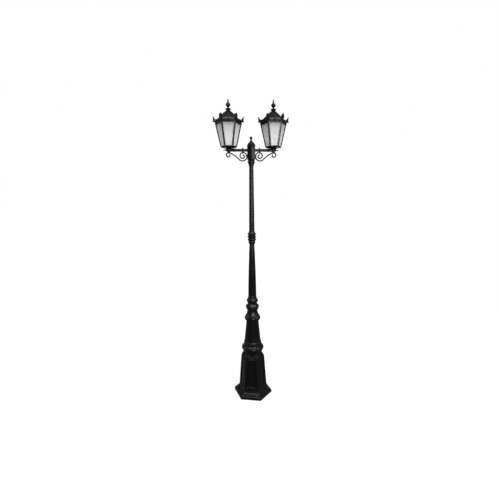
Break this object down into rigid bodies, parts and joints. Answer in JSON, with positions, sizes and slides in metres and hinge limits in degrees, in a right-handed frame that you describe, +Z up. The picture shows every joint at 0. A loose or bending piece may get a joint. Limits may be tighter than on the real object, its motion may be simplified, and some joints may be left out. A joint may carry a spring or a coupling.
{
  "type": "street lamp post",
  "caption": "Black cast lamp post with a hexagonal panelled foot, tapered ringed shaft, S-scroll arms and six-sided opal lanterns with hinged roofs.",
  "frame": {"origin": "centre of the foot's underside, on the ground", "axes": "+Z up along the shaft, X along the two arms, -Y is the front"},
  "size_m": [0.5936, 0.312, 2.4],
  "materials": {
    "black_paint": "satin black powder coat on cast aluminium",
    "opal_pane": "opal, translucent, satin",
    "bulb_envelope": "frosted",
    "porcelain": "glazed",
    "zinc_plated_steel": "zinc plated",
    "cable_sheath": "matt sheath",
    "terminal_plastic": "moulded"
  },
  "bodies": {
    "post": {"base_plinth": "black_paint", "base_pedestal": "black_paint", "service_door": "black_paint", "door_screw": "zinc_plated_steel", "bead_ring": "black_paint", "base_cone": "black_paint", "lower_collar": "black_paint", "leaf_band": "black_paint", "shaft_collar": "black_paint", "lower_shaft": "black_paint", "shaft_sleeve": "zinc_plated_steel", "middle_collar": "black_paint", "upper_shaft": "black_paint", "top_collar": "black_paint", "head_spigot": "zinc_plated_steel", "supply_cable": "cable_sheath"},
    "head": {"hub_body": "black_paint", "hub_cap": "black_paint", "hub_finial": "black_paint", "cap_screw": "zinc_plated_steel", "head_set_screw_1": "zinc_plated_steel", "head_set_screw_2": "zinc_plated_steel", "terminal_block": "terminal_plastic", "left_arm": "black_paint", "left_arm_tip": "black_paint", "left_arm_clamp": "black_paint", "left_scroll": "black_paint", "left_scroll_bolt": "zinc_plated_steel", "left_scroll_screw": "zinc_plated_steel", "left_stem": "black_paint", "left_stem_bolt": "zinc_plated_steel", "left_lamp_lead": "cable_sheath", "left_lantern_pan": "black_paint", "left_lantern_frame": "black_paint", "left_diffuser": "opal_pane", "left_lamp_holder": "porcelain", "left_bulb": "bulb_envelope", "left_hinge_pin": "zinc_plated_steel", "right_arm": "black_paint", "right_arm_tip": "black_paint", "right_arm_clamp": "black_paint", "right_scroll": "black_paint", "right_scroll_bolt": "zinc_plated_steel", "right_scroll_screw": "zinc_plated_steel", "right_stem": "black_paint", "right_stem_bolt": "zinc_plated_steel", "right_lamp_lead": "cable_sheath", "right_lantern_pan": "black_paint", "right_lantern_frame": "black_paint", "right_diffuser": "opal_pane", "right_lamp_holder": "porcelain", "right_bulb": "bulb_envelope", "right_hinge_pin": "zinc_plated_steel"},
    "left_roof": {"left_roof": "black_paint", "left_roof_finial": "black_paint", "left_catch_screw": "zinc_plated_steel"},
    "right_roof": {"right_roof": "black_paint", "right_roof_finial": "black_paint", "right_catch_screw": "zinc_plated_steel"}
  },
  "joints": [
    {"name": "head_swivel", "type": "hinge", "parent": "post", "child": "head", "pos_m": [0, 0, 1.9525], "axis": [0, 0, 1], "range_deg": [-180, 180]},
    {"name": "left_roof_hinge", "type": "hinge", "parent": "head", "child": "left_roof", "pos_m": [-0.173, 0.0975, 2.2315], "axis": [-1, 0, 0], "range_deg": [0, 100]},
    {"name": "right_roof_hinge", "type": "hinge", "parent": "head", "child": "right_roof", "pos_m": [0.173, 0.0975, 2.2315], "axis": [-1, 0, 0], "range_deg": [0, 100]}
  ]
}
